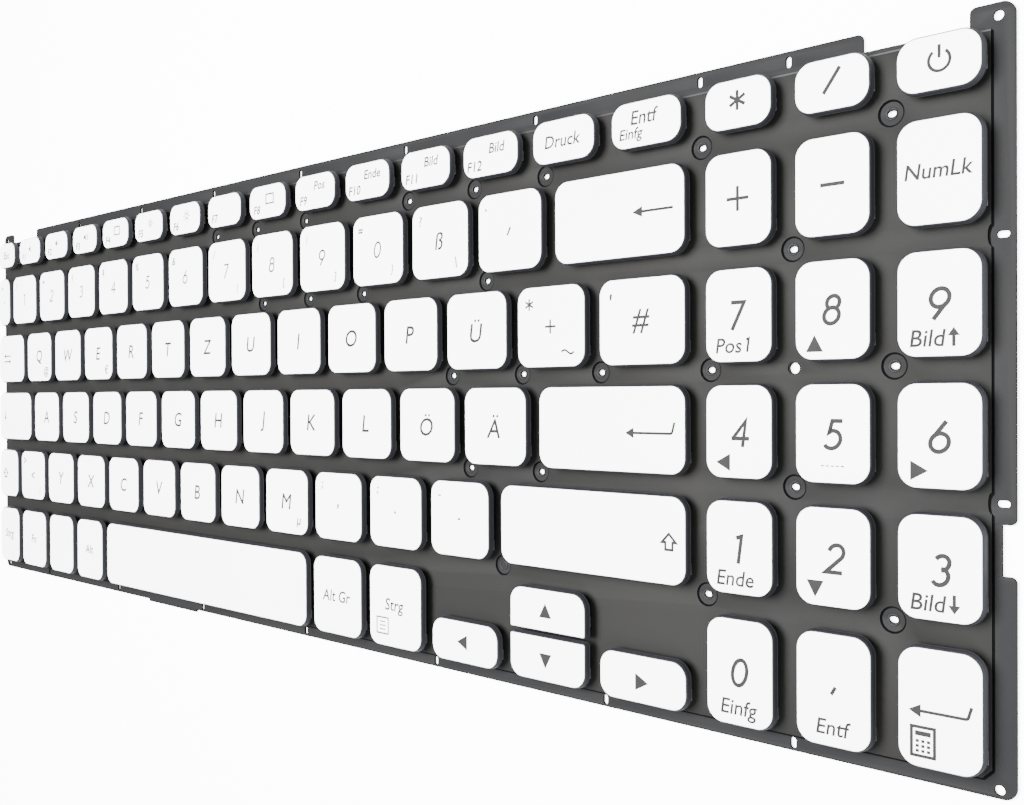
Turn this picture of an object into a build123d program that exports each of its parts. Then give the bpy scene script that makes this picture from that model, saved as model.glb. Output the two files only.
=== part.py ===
"""Laptop replacement keyboard with a number block, lying flat.

Millimetres. +X runs along the key rows to the number block, +Y towards the
function row, +Z up. The origin is under the middle of the sheet plate.
"""
import os
from math import asin, cos, pi, radians, sin, tan

from build123d import *

# Key caps
TRAVEL = 1.4
FLOOR_GAP = 0.3           # left between a fully pressed cap and the film
KEY_TOP = 3.8             # height of the key tops over the underside of the plate
CAP_WALL = 0.8
CAP_ROOF = 0.6
CAP_DRAFT = 8.0           # degrees that the skirts lean in
CORNER_R = 2.9
CORNER_SIDES = 4          # chords that draw one rounded corner
ROW_CORNER_SIDES = 3      # the same on the caps that share a piece
SMALL_R = 0.5             # inner corners of the half-height arrow keys
ARROW_BEVEL = 0.5         # along the edges where the up and down keys meet

# Key grid: widths and gaps along a row
CAP_W = 16.25
KEY_GAP = 2.8
END_GAP = 3.2             # in front of the wide keys that end a row
CARET_W = 7.9
TAB_KEY_W = 18.05
CAPS_W = 22.9
SHIFT_W = 13.1
BACKSPACE_W = 28.15
NUM_W = 12.1
NUM_GAP = 3.9             # between the keys of the number block, and in front of them
ESCAPE_W = 11.7
FUNC_GAP = 3.75
FUNC_INSET = 0.65         # the function row ends this far inside the main block
CTRL_W = 13.65
FN_W = 16.2
SYSTEM_W = 15.2
ALT_GR_W = 16.75
CTRL_R_W = 16.25
ARROW_W = 18.2
ARROW_GAP = 3.3

# Key grid: depths and gaps from back to front
TOP_D = 8.0
TOP_GAP = 3.6             # between the function row and the number row
CAP_D = 15.1
ROW_GAP = 3.45
LOW_GAP = 3.8             # between the lower letter row and the space row
LOW_D = 17.2
ARROW_LOW_D = 8.4
ARROW_SPLIT = 0.9         # between the up and the down key
SHALLOW_D = 10.0          # keys less deep than this have the short frames

# Sheet plate: a stamped and coated sheet that carries everything
PLATE_T = 0.5
SIDE_MARGIN = 3.275       # from the outer keys to the edges of the plate
BACK_MARGIN = 3.45
FRONT_MARGIN = 3.6
PLATE_CORNER_R = 1.8
TOP_STEP = 2.8            # how far the back edge steps in beside the corner ears
EAR_W = 6.2               # width of the two back corner ears
LEFT_RECESS = 17.5        # between the left ear and the long back strip
RIGHT_RECESS = 15.6
TAB_X = -57.0             # middle of the small front tab
TAB_W = 24.0
TAB_D = 0.6
NOTCH_UP = 2.8            # the right edge's notch is this far behind the lower row's middle
NOTCH_L = 7.1
NOTCH_D = 1.9
STEP_R = 0.9              # rounding of the tabs, ears and notch
SAME = 0.01               # points closer than this are one point

# Screw and locating holes
CORNER_HOLE_R = 0.7
CORNER_HOLE_SIDE = 2.3    # from the side edges
CORNER_HOLE_END = 1.8     # from the back edge and from the front of the tab
SLOT_L = 2.2
SLOT_W = 1.1
SLOT_INSET = 1.7
BACK_SLOT_X = 1.15        # middle of the evenly spaced back slots
BACK_SLOT_PITCH = 36.55
BACK_SLOT_COUNT = 7
BACK_END_SLOT = 34.1      # single slot, from the right edge
FRONT_SLOT_X = -19.75
FRONT_SLOT_PITCH = 44.1
FRONT_SLOT_COUNT = 6
FRONT_END_SLOT = 33.6

# Contact film laid on the plate
FILM_T = 0.25
FILM_MARGIN = 3.2         # from the film to the edges of the plate
FILM_BACK_MARGIN = 3.5
FILM_FRONT_MARGIN = 3.1
FILM_CORNER = 1.4
RELIEF_R = 2.0            # round openings in the film around the rivet holes
RELIEF_SIDES = 7
RIVET_UP = 0.7            # rivets lie this far behind the middle of a gap between rows
RIVET_HOLE_R = 0.75
RIVET_SIDES = 6

# Folding frames and rubber domes under the caps
FRAME_W = 9.5
FRAME_BAR = 0.9
FRAME_T = 0.5
FRAME_SIDE_GAP = 0.2
FRAME_END_GAP = 0.05      # to the film below and to the cap above
LONG_FRAME = 10.4
FRAME_CLEAR = 0.35        # between the short frames and the walls of the shallowest cap
SHORT_BAR = 0.7
DOME_R = 2.3
SHORT_DOME_R = 1.7
DOME_DRAFT = 17.0         # degrees
DOME_SIDES = 5
POST = 5.0                # foot of a cap that is made in one with its carrier
SHORT_POST = 3.6

# Heights that follow
FILM_TOP = PLATE_T + FILM_T
SKIRT_Z = FILM_TOP + FLOOR_GAP + TRAVEL
CAP_H = KEY_TOP - SKIRT_Z
ROOF_Z = KEY_TOP - CAP_ROOF
POCKET_H = ROOF_Z - SKIRT_Z
FLARE = CAP_H * tan(radians(CAP_DRAFT))    # how much wider a skirt is than its top
FRAME_MID_Z = (FILM_TOP + ROOF_Z) / 2
FRAME_RISE = (ROOF_Z - FILM_TOP) / 2 - FRAME_END_GAP - FRAME_T / 2
ARROW_UP_D = LOW_D - ARROW_LOW_D - ARROW_SPLIT
SHORT_FRAME = ARROW_UP_D - 2 * (CAP_WALL + FRAME_CLEAR)

# Names of the equal keys, row by row
function_names = ["f%d" % n for n in range(1, 13)] + ["print", "delete"]
number_names = ["one", "two", "three", "four", "five", "six", "seven", "eight", "nine", "zero",
                "sharp_s", "acute"]
upper_names = ["q", "w", "e", "r", "t", "z", "u", "i", "o", "p", "u_umlaut", "plus"]
home_names = ["a", "s", "d", "f", "g", "h", "j", "k", "l", "o_umlaut", "a_umlaut"]
lower_names = ["angle", "y", "x", "c", "v", "b", "n", "m", "comma", "dot", "dash"]

# Widths that follow: the number row sets the main block, and the plate goes around both blocks
PITCH = CAP_W + KEY_GAP
NUM_PITCH = NUM_W + NUM_GAP
MAIN_W = CARET_W + len(number_names) * PITCH + END_GAP + BACKSPACE_W
PLATE_W = SIDE_MARGIN + MAIN_W + 3 * NUM_PITCH + SIDE_MARGIN
KEYS_L = SIDE_MARGIN - PLATE_W / 2
MAIN_R = KEYS_L + MAIN_W
FUNC_PITCH = (MAIN_W - ESCAPE_W - FUNC_INSET) / len(function_names)
FUNC_W = FUNC_PITCH - FUNC_GAP

# Depths that follow, and the row middles
ROW_PITCH = CAP_D + ROW_GAP
PLATE_D = (BACK_MARGIN + TOP_D + TOP_GAP + 3 * ROW_PITCH + CAP_D
           + LOW_GAP + LOW_D + FRONT_MARGIN)
FUNC_Y = PLATE_D / 2 - BACK_MARGIN - TOP_D / 2
NUMBER_Y = FUNC_Y - TOP_D / 2 - TOP_GAP - CAP_D / 2
UPPER_Y = NUMBER_Y - ROW_PITCH
HOME_Y = UPPER_Y - ROW_PITCH
LOWER_Y = HOME_Y - ROW_PITCH
SPACE_Y = LOWER_Y - CAP_D / 2 - LOW_GAP - LOW_D / 2


def span(left, right, middle, depth):
    """Sides of a cap: left, right, front, back."""
    return (left, right, middle - depth / 2, middle + depth / 2)


def letter_row(middle_y, left_name, left_w, names, right_name):
    """A row of equal keys after a left key of its own width; the last key fills the row."""
    row = {left_name: span(KEYS_L, KEYS_L + left_w, middle_y, CAP_D)}
    first = KEYS_L + left_w + KEY_GAP
    for i, name in enumerate(names):
        row[name] = span(first + i * PITCH, first + i * PITCH + CAP_W, middle_y, CAP_D)
    row[right_name] = span(row[names[-1]][1] + END_GAP, MAIN_R, middle_y, CAP_D)
    return row


def number_block(middle_y, depth, names):
    """Three keys of the number block."""
    first = MAIN_R + NUM_GAP
    return {name: span(first + i * NUM_PITCH, first + i * NUM_PITCH + NUM_W, middle_y, depth)
            for i, name in enumerate(names)}


def skirt(sides, front_r, back_r, corner_sides):
    """Outline of a cap's lower edge, each rounded corner drawn as short chords."""
    left, right, front, back = sides
    corners = (
        (right - front_r, front + front_r, front_r, -pi / 2),
        (right - back_r, back - back_r, back_r, 0.0),
        (left + back_r, back - back_r, back_r, pi / 2),
        (left + front_r, front + front_r, front_r, pi),
    )
    points = []
    for x, y, r, start in corners:
        chords = corner_sides if r > SMALL_R else 1
        for i in range(chords + 1):
            angle = start + i * pi / 2 / chords
            points.append((x + (r + FLARE) * cos(angle), y + (r + FLARE) * sin(angle)))
    return points


def middle(sides):
    """Middle of a cap."""
    return ((sides[0] + sides[1]) / 2, (sides[2] + sides[3]) / 2)


def shallow(sides):
    """True for the half-height keys, which have the short frames."""
    return sides[3] - sides[2] < SHALLOW_D


# All keys, row by row
function_row = {"escape": span(KEYS_L, KEYS_L + ESCAPE_W, FUNC_Y, TOP_D)}
for n, key_name in enumerate(function_names):
    key_left = KEYS_L + ESCAPE_W + FUNC_GAP + n * FUNC_PITCH
    function_row[key_name] = span(key_left, key_left + FUNC_W, FUNC_Y, TOP_D)
function_row.update(number_block(FUNC_Y, TOP_D, ("times", "divide", "power")))

number_row = letter_row(NUMBER_Y, "caret", CARET_W, number_names, "backspace")
number_row.update(number_block(NUMBER_Y, CAP_D, ("num_plus", "num_minus", "num_lock")))

upper_row = letter_row(UPPER_Y, "tab", TAB_KEY_W, upper_names, "hash")
upper_row.update(number_block(UPPER_Y, CAP_D, ("num_7", "num_8", "num_9")))

home_row = letter_row(HOME_Y, "caps_lock", CAPS_W, home_names, "enter")
home_row.update(number_block(HOME_Y, CAP_D, ("num_4", "num_5", "num_6")))

lower_row = letter_row(LOWER_Y, "shift_left", SHIFT_W, lower_names, "shift_right")
lower_row.update(number_block(LOWER_Y, CAP_D, ("num_1", "num_2", "num_3")))

space_row = {}
space_front = SPACE_Y - LOW_D / 2
space_back = SPACE_Y + LOW_D / 2
arrow_low = space_front + ARROW_LOW_D
key_right = MAIN_R
for key_name in ("arrow_right", "arrow_down", "arrow_left"):
    space_row[key_name] = (key_right - ARROW_W, key_right, space_front, arrow_low)
    key_right -= ARROW_W + ARROW_GAP
space_row["arrow_up"] = (
    space_row["arrow_down"][0], space_row["arrow_down"][1], arrow_low + ARROW_SPLIT, space_back)
for key_name, key_w in (("ctrl_right", CTRL_R_W), ("alt_gr", ALT_GR_W)):
    space_row[key_name] = span(key_right - key_w, key_right, SPACE_Y, LOW_D)
    key_right -= key_w + KEY_GAP
key_left = KEYS_L
for key_name, key_w in (("ctrl_left", CTRL_W), ("fn", FN_W), ("system", SYSTEM_W), ("alt", SYSTEM_W)):
    space_row[key_name] = span(key_left, key_left + key_w, SPACE_Y, LOW_D)
    key_left += key_w + KEY_GAP
space_row["space"] = span(key_left, key_right, SPACE_Y, LOW_D)
space_row.update(number_block(SPACE_Y, LOW_D, ("num_0", "num_comma", "num_enter")))

# Rivets in the gaps between rows: middle of each gap, and distances from the main block's right side
rivets = [
    ((function_row["f1"][2] + number_row["one"][3]) / 2 + RIVET_UP, (33.9, 1.4, -32.9, -51.5, -71.0)),
    ((number_row["one"][2] + upper_row["q"][3]) / 2 + RIVET_UP, (18.0, -48.3, -86.1)),
    ((upper_row["q"][2] + home_row["a"][3]) / 2 + RIVET_UP, (34.3, 18.1, 3.0, -20.0, -38.9, -58.0)),
    ((home_row["a"][2] + lower_row["y"][3]) / 2 + RIVET_UP, (18.2, -34.4, -53.0)),
    ((lower_row["y"][2] + space_back) / 2 + RIVET_UP, (34.0, 2.2, -44.2)),
]
reliefs = [(MAIN_R + distance, rivet_y) for rivet_y, distances in rivets for distance in distances]

# Keys with a press of their own; the rest share one piece per row with their carriers
moving_names = {
    "function_row": ["f10", "f11", "f12", "print", "delete", "times", "divide", "power"],
    "number_row": ["nine", "zero", "sharp_s", "acute", "backspace",
                   "num_plus", "num_minus", "num_lock"],
    "upper_row": ["o", "p", "u_umlaut", "plus", "hash", "num_7", "num_8", "num_9"],
    "home_row": ["k", "l", "o_umlaut", "a_umlaut", "enter", "num_4", "num_5", "num_6"],
    "lower_row": ["m", "comma", "dot", "dash", "shift_right", "num_1", "num_2", "num_3"],
    "space_row": ["space", "alt_gr", "ctrl_right", "arrow_left", "arrow_up", "arrow_down",
                  "arrow_right", "num_0", "num_comma", "num_enter"],
}
rows = {"function_row": function_row, "number_row": number_row, "upper_row": upper_row,
        "home_row": home_row, "lower_row": lower_row, "space_row": space_row}
moving = {}
for row_name, row_keys in rows.items():
    for key_name in moving_names[row_name]:
        moving[key_name] = row_keys[key_name]

os.makedirs("parts", exist_ok=True)

# Plate outline, counter-clockwise from the front left corner
side = PLATE_W / 2
back = PLATE_D / 2
front_tab = -PLATE_D / 2
front = front_tab + TAB_D
step_y = back - TOP_STEP
strip_l = -side + EAR_W + LEFT_RECESS
strip_r = side - EAR_W - RIGHT_RECESS
tab_l = TAB_X - TAB_W / 2
tab_r = TAB_X + TAB_W / 2
notch_y = LOWER_Y + NOTCH_UP
notch_low = notch_y - NOTCH_L / 2
notch_high = notch_y + NOTCH_L / 2
plate_points = [
    (-side, front), (tab_l, front), (tab_l, front_tab), (tab_r, front_tab), (tab_r, front),
    (side, front), (side, notch_low), (side - NOTCH_D, notch_low),
    (side - NOTCH_D, notch_high), (side, notch_high), (side, back),
    (side - EAR_W, back), (side - EAR_W, step_y), (strip_r, step_y), (strip_r, back),
    (strip_l, back), (strip_l, step_y), (-side + EAR_W, step_y), (-side + EAR_W, back),
    (-side, back),
]
upright_slot = [(0, -SLOT_L / 2), (SLOT_W / 2, -SLOT_L / 4), (SLOT_W / 2, SLOT_L / 4),
                (0, SLOT_L / 2), (-SLOT_W / 2, SLOT_L / 4), (-SLOT_W / 2, -SLOT_L / 4)]
side_slot = [(-y, x) for x, y in upright_slot]
hole_x = side - CORNER_HOLE_SIDE
hole_y = back - CORNER_HOLE_END
end_slots = [(side - BACK_END_SLOT, back - SLOT_INSET), (side - FRONT_END_SLOT, front + SLOT_INSET)]
side_slots = [(side - SLOT_INSET, (NUMBER_Y + UPPER_Y) / 2), (side - SLOT_INSET, (HOME_Y + LOWER_Y) / 2)]

with BuildPart() as base_plate:
    with BuildSketch() as plate_face:
        with BuildLine():
            Polyline(*plate_points, close=True)
        make_face()
        outer = [v for v in plate_face.vertices() if abs(abs(v.X) - side) < SAME
                 and (abs(v.Y - front) < SAME or abs(v.Y - back) < SAME)]
        fillet(outer, PLATE_CORNER_R)
        steps = [v for v in plate_face.vertices()
                 if abs(v.X - strip_r) < SAME and abs(v.Y - back) < SAME
                 or abs(v.X - side) < SAME and abs(v.Y - notch_y) < NOTCH_L]
        fillet(steps, STEP_R)
        with GridLocations(2 * hole_x, 2 * hole_y, 2, 2):
            Circle(CORNER_HOLE_R, mode=Mode.SUBTRACT)
        with Locations((BACK_SLOT_X, back - SLOT_INSET)):
            with GridLocations(BACK_SLOT_PITCH, 1, BACK_SLOT_COUNT, 1):
                Polygon(*upright_slot, align=None, mode=Mode.SUBTRACT)
        with Locations((FRONT_SLOT_X, front + SLOT_INSET)):
            with GridLocations(FRONT_SLOT_PITCH, 1, FRONT_SLOT_COUNT, 1):
                Polygon(*upright_slot, align=None, mode=Mode.SUBTRACT)
        with Locations(*end_slots):
            Polygon(*upright_slot, align=None, mode=Mode.SUBTRACT)
        with Locations(*side_slots):
            Polygon(*side_slot, align=None, mode=Mode.SUBTRACT)
        with Locations(*reliefs):
            RegularPolygon(RIVET_HOLE_R, RIVET_SIDES, mode=Mode.SUBTRACT)
    extrude(amount=PLATE_T)
base_plate.part.label = "base_plate"
export_step(base_plate.part, "parts/base_plate.step")

film_side = side - FILM_MARGIN
film_back = back - FILM_BACK_MARGIN
film_front = front_tab + FILM_FRONT_MARGIN
with BuildPart() as contact_film:
    with BuildSketch(Plane.XY.offset(PLATE_T)):
        with BuildLine():
            Polyline((-film_side, film_front + FILM_CORNER), (-film_side + FILM_CORNER, film_front),
                     (film_side - FILM_CORNER, film_front), (film_side, film_front + FILM_CORNER),
                     (film_side, film_back), (-film_side, film_back), close=True)
        make_face()
        with Locations(*reliefs):
            RegularPolygon(RELIEF_R, RELIEF_SIDES, mode=Mode.SUBTRACT)
    extrude(amount=FILM_T)
contact_film.part.label = "contact_film"
export_step(contact_film.part, "parts/contact_film.step")

deep_middles = [middle(s) for s in moving.values() if not shallow(s)]
shallow_middles = [middle(s) for s in moving.values() if shallow(s)]

with BuildPart() as rubber_domes:
    with BuildSketch(Plane.XY.offset(FILM_TOP)):
        with Locations(*deep_middles):
            RegularPolygon(DOME_R, DOME_SIDES)
        with Locations(*shallow_middles):
            RegularPolygon(SHORT_DOME_R, DOME_SIDES)
    extrude(amount=ROOF_Z - FRAME_END_GAP - FILM_TOP, taper=DOME_DRAFT)
rubber_domes.part.label = "rubber_domes"
export_step(rubber_domes.part, "parts/rubber_domes.step")

# One pair of crossed frames in each length; the inner one folds inside the outer one
inner_w = FRAME_W - 2 * FRAME_BAR - 2 * FRAME_SIDE_GAP
long_lean = asin(FRAME_RISE / (LONG_FRAME / 2))
short_lean = asin(FRAME_RISE / (SHORT_FRAME / 2))

with BuildPart() as long_pair:
    for frame_w, lean in ((FRAME_W, long_lean), (inner_w, -long_lean)):
        with BuildSketch(Plane((0, 0, FRAME_MID_Z), x_dir=(1, 0, 0), z_dir=(0, -sin(lean), cos(lean)))):
            Rectangle(frame_w, LONG_FRAME)
            Rectangle(frame_w - 2 * FRAME_BAR, LONG_FRAME - 2 * FRAME_BAR, mode=Mode.SUBTRACT)
        extrude(amount=FRAME_T / 2, both=True)

with BuildPart() as short_pair:
    for frame_w, lean in ((FRAME_W, short_lean), (inner_w, -short_lean)):
        with BuildSketch(Plane((0, 0, FRAME_MID_Z), x_dir=(1, 0, 0), z_dir=(0, -sin(lean), cos(lean)))):
            Rectangle(frame_w, SHORT_FRAME)
            Rectangle(frame_w - 2 * FRAME_BAR, SHORT_FRAME - 2 * SHORT_BAR, mode=Mode.SUBTRACT)
        extrude(amount=FRAME_T / 2, both=True)

with BuildPart() as folding_frames:
    with Locations(*deep_middles):
        add(long_pair.part)
    with Locations(*shallow_middles):
        add(short_pair.part)
folding_frames.part.label = "folding_frames"
export_step(folding_frames.part, "parts/folding_frames.step")

# Caps that press on their own, hollow from below
for key_name, sides in moving.items():
    front_r = SMALL_R if key_name == "arrow_up" else CORNER_R
    back_r = SMALL_R if key_name == "arrow_down" else CORNER_R
    with BuildPart() as key:
        with BuildSketch(Plane.XY.offset(SKIRT_Z)):
            Polygon(*skirt(sides, front_r, back_r, CORNER_SIDES), align=None)
        extrude(amount=CAP_H, taper=CAP_DRAFT)
        if key_name == "arrow_up":
            chamfer(key.edges().group_by(Axis.Z)[-1].sort_by(Axis.Y)[0], ARROW_BEVEL)
        if key_name == "arrow_down":
            chamfer(key.edges().group_by(Axis.Z)[-1].sort_by(Axis.Y)[-1], ARROW_BEVEL)
        with BuildSketch(Plane.XY.offset(SKIRT_Z)):
            with Locations(middle(sides)):
                Rectangle(sides[1] - sides[0] - 2 * CAP_WALL, sides[3] - sides[2] - 2 * CAP_WALL)
        extrude(amount=POCKET_H, mode=Mode.SUBTRACT)
    key.part.label = "key_" + key_name
    export_step(key.part, "parts/key_" + key_name + ".step")

# Caps made in one with their carriers, one piece per row
for row_name, row_keys in rows.items():
    carried = [sides for key_name, sides in row_keys.items() if key_name not in moving]
    with BuildPart() as row_part:
        with BuildSketch(Plane.XY.offset(SKIRT_Z)):
            for sides in carried:
                Polygon(*skirt(sides, CORNER_R, CORNER_R, ROW_CORNER_SIDES), align=None)
        extrude(amount=CAP_H, taper=CAP_DRAFT)
        with BuildSketch(Plane.XY.offset(FILM_TOP)):
            for sides in carried:
                foot = SHORT_POST if shallow(sides) else POST
                with Locations(middle(sides)):
                    Rectangle(foot, foot)
        extrude(amount=SKIRT_Z - FILM_TOP)
    row_part.part.label = row_name + "_keys"
    export_step(row_part.part, "parts/" + row_name + "_keys.step")
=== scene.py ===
"""Laptop replacement keyboard with a number block: how the plate, film, keys and legends look."""
import math

import bmesh
import bpy
from mathutils import Matrix, Vector


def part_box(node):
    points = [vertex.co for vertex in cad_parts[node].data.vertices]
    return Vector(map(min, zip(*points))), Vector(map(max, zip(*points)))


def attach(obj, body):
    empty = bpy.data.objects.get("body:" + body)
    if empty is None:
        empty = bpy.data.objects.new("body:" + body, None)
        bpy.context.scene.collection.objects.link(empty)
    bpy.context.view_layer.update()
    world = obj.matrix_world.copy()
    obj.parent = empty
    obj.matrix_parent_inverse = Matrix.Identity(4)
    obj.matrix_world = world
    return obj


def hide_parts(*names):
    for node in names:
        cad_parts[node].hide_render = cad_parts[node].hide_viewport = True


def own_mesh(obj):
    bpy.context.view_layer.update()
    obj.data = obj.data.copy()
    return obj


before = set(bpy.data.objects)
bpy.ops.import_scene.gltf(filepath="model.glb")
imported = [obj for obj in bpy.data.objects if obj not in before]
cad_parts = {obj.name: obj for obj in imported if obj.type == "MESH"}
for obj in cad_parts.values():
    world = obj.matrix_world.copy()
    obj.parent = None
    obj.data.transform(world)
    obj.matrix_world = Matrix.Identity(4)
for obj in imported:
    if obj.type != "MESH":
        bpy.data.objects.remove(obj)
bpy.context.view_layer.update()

MM = 0.001

# Heights over the underside of the plate, in millimetres
PLATE_T = 0.5
FILM_T = 0.25
FILM_TOP = PLATE_T + FILM_T
SKIRT_Z = 2.45
ROOF_Z = 3.2
KEY_TOP = 3.8

# Key caps
FLARE = 0.19              # how much wider a skirt is than its top, on each side
CORNER_R = 2.9
SMALL_R = 0.5             # inner corners of the half-height arrow keys
CAP_WALL = 0.8
EDGE_R = 0.34             # rounding between the top and the skirt
LIP = 0.08                # bevel along the lower edge
RIM = 0.07                # small rim around the foot of the skirt
PAINTED_RINGS = 3         # rings of the rounded edge, from the top, that carry paint
EDGE_STEPS = 5
EDGE_EASE = 0.02          # how far the rounding starts outside the top outline
TOP_INSET = 0.7           # width of the flat band inside the rounding
LEAST_R = 0.05            # smallest corner that is still drawn round
PAINT_START = 0.015       # depths under the top between which the paint ends
PAINT_END = 0.045
FOOT_LENGTH = 1.9         # small foot under the right-hand skirt, pale for a painted glint
FOOT_DROP = 0.22
FOOT_PLACE = 3.0          # from the front of the cap, less on a shallow one
FOOT_SHARE = 0.42
FOOT_OUTER = 0.05         # its outer and inner sides, inward from the skirt
FOOT_INNER = 0.3
FOOT_BEVEL = 0.12
FOOT_BEVEL_H = 0.1
INK = 0.012               # how far the print stands over the paint
LAYER = 0.003             # print that crosses other print lies this much lower
CORNER_STEPS = 10
LETTER_H = 0.615          # height of a capital letter in text of size one
BOLD = 0.055              # rim that makes the print bolder than the plain letters
SLANT = 0.14              # lean of the print
LINE = 0.42               # printed line of the signs
MARK_LINE = 0.46          # printed line of the larger arrows and marks
FINE_LINE = 0.26          # printed line of the smallest marks
LEAST_FOLD = 0.35         # limit to how far a mitred bend reaches out

# Equal keys and gaps of the rows
CAP_W = 16.25
PITCH = 19.05
SPACE_LEFT_W = (13.65, 16.2, 15.2, 15.2)
KEY_GAP = 2.8

# Plate
PLATE_CORNER_R = 1.8
STEP_R = 0.9
TOP_STEP = 2.8
EAR_W = 6.2
LEFT_RECESS = 17.5
RIGHT_RECESS = 15.6
TAB_L = -69.0
TAB_R = -45.0
TAB_D = 0.6
NOTCH_Y = -20.25
NOTCH_L = 7.1
NOTCH_D = 1.9
CORNER_HOLE_R = 0.7
CORNER_HOLE_X = 2.3
CORNER_HOLE_Y = 1.8
PLATE_EDGE = 0.05
SLOT_L = 1.75
SLOT_W = 0.95
SLOT_INSET = 1.7
FRONT_SLOT_INSET = 1.25
BACK_SLOT_X = (127.1, 110.8, 74.25, 37.7, 1.15, -35.4, -71.95, -108.5)
FRONT_SLOT_X = (127.6, 90.5, 46.4, 2.3, -41.8, -85.9, -130.0)
SIDE_SLOT_Y = (23.3, -13.8)
RIVET_HOLE_R = 0.72
RIVET_HOLE_FLAT = 0.64    # depth of a rivet hole over its width
PLAIN_HOLE_R = 0.85
PLAIN_HOLE_STEP = 0.15    # how much larger in radius the film's opening is
COLLAR_R = 0.82
COLLAR_TUBE = 0.14
COLLAR_STEPS = 28
TUBE_STEPS = 10
SHADE_RING_R = 1.87        # painted shade: a dark ring along the round openings of the film
SHADE_RING_TUBE = 0.13

# Film
FILM_MARGIN = 3.2
FILM_BACK_MARGIN = 3.5
FILM_FRONT_MARGIN = 3.1
FILM_CORNER = 1.4
FILM_EDGE = 0.03
WALL_TILT = 0.6           # faces of a sheet whose normal rises less than this are its walls
RELIEF_R = 2.0
SCALLOP_L = 1.5
SCALLOP_D = 0.5
SCALLOP_STEPS = 8
# Painted lines along the film's edge: painted shade at the right and front, a painted highlight at the
# back
PAINTED_LINE_W = 0.3
PAINTED_LINE_H = 0.04
BACK_HIGHLIGHT_GAP = 0.05      # between the painted highlight line and the back edge
SINK = 0.02               # how deep a line is set into the sheet under it
PLAIN_HOLE = (128.0, 5.5)
RIVETS = (
    (143.8, 42.5), (111.3, 42.5), (77.0, 42.5), (58.4, 42.5), (38.9, 42.5),
    (3.2, 42.3), (-16.2, 42.3), (-33.8, 42.3),
    (127.9, 24.1), (61.6, 24.0), (23.8, 24.0), (4.6, 24.1), (-13.5, 24.1),
    (144.2, 5.5), (112.9, 5.5), (89.9, 5.5), (71.0, 5.5), (51.9, 5.5),
    (128.1, -13.1), (75.5, -13.0), (56.9, -13.0),
    (143.9, -31.8), (112.1, -31.8),
)
BLIND_RIVET = (65.7, -31.6)

# Frames and domes under the caps
FRAME_W = 9.5
FRAME_BAR = 0.9
FRAME_T = 0.5
LONG_FRAME = 10.4
SHORT_FRAME = 5.6
FRAME_GAP = 0.2
FRAME_RISE = 0.925
FRAME_CORNER = 0.6
FRAME_INNER_CORNER = 0.35
FRAME_EASE = 0.1
FRAME_STEPS = 3
END_BAR = 0.7             # end bars of the short frames
FRAME_MID_Z = (FILM_TOP + ROOF_Z) / 2
DOME_R = 2.3
SHORT_DOME_R = 1.7
DOME_GAP = 0.05
DOME_STEPS = 16
DOME_FOOT = ((0.0, 0.0), (0.0, 0.12), (0.25, 0.25), (0.45, 0.9))    # inset, and height over the film
DOME_HEAD = ((0.7, 0.7), (0.8, 0.12), (0.92, 0.0))                  # inset, and depth under its top
SHALLOW_D = 10.0          # a cap less deep than this has the short frames

# Order of the finishes in a cap piece and in a piece of frames and domes
ON_TOP, ON_PRINT, ON_SKIRT, ON_FOOT_GLINT = range(4)
ON_FRAME, ON_DOME = range(2)

# Smoothing, and how close corners are joined, in metres
SHARP_ANGLE = math.radians(32)
WELD = 1e-7
SHEET_WELD = 2e-7


# Shared shader groups

def add_node(tree, kind, x, y):
    """A shader node at a place in the tree."""
    node = tree.nodes.new(kind)
    node.location = (x, y)
    return node


def new_group(name, kind, inputs, outputs):
    """An empty node group with the sockets that are named, each with its kind of value."""
    group = bpy.data.node_groups.new(name, kind)
    for way, sockets in (("INPUT", inputs), ("OUTPUT", outputs)):
        for label, value in sockets:
            group.interface.new_socket(label, in_out=way, socket_type="NodeSocket" + value)
    return group


def grain_group():
    """Fine grain: a value and a bumped normal."""
    group = new_group("fine_grain", "ShaderNodeTree", (("Scale", "Float"), ("Strength", "Float")),
                      (("Value", "Float"), ("Normal", "Vector")))
    inside = add_node(group, "NodeGroupInput", -800, 0)
    outside = add_node(group, "NodeGroupOutput", 400, 0)
    coords = add_node(group, "ShaderNodeTexCoord", -800, -200)
    noise = add_node(group, "ShaderNodeTexNoise", -500, 0)
    noise.inputs["Detail"].default_value = 3.0
    bump = add_node(group, "ShaderNodeBump", 0, -150)
    bump.inputs["Distance"].default_value = 0.00004
    group.links.new(coords.outputs["Object"], noise.inputs["Vector"])
    group.links.new(inside.outputs["Scale"], noise.inputs["Scale"])
    group.links.new(inside.outputs["Strength"], bump.inputs["Strength"])
    group.links.new(noise.outputs["Fac"], bump.inputs["Height"])
    group.links.new(noise.outputs["Fac"], outside.inputs["Value"])
    group.links.new(bump.outputs["Normal"], outside.inputs["Normal"])
    return group


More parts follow.
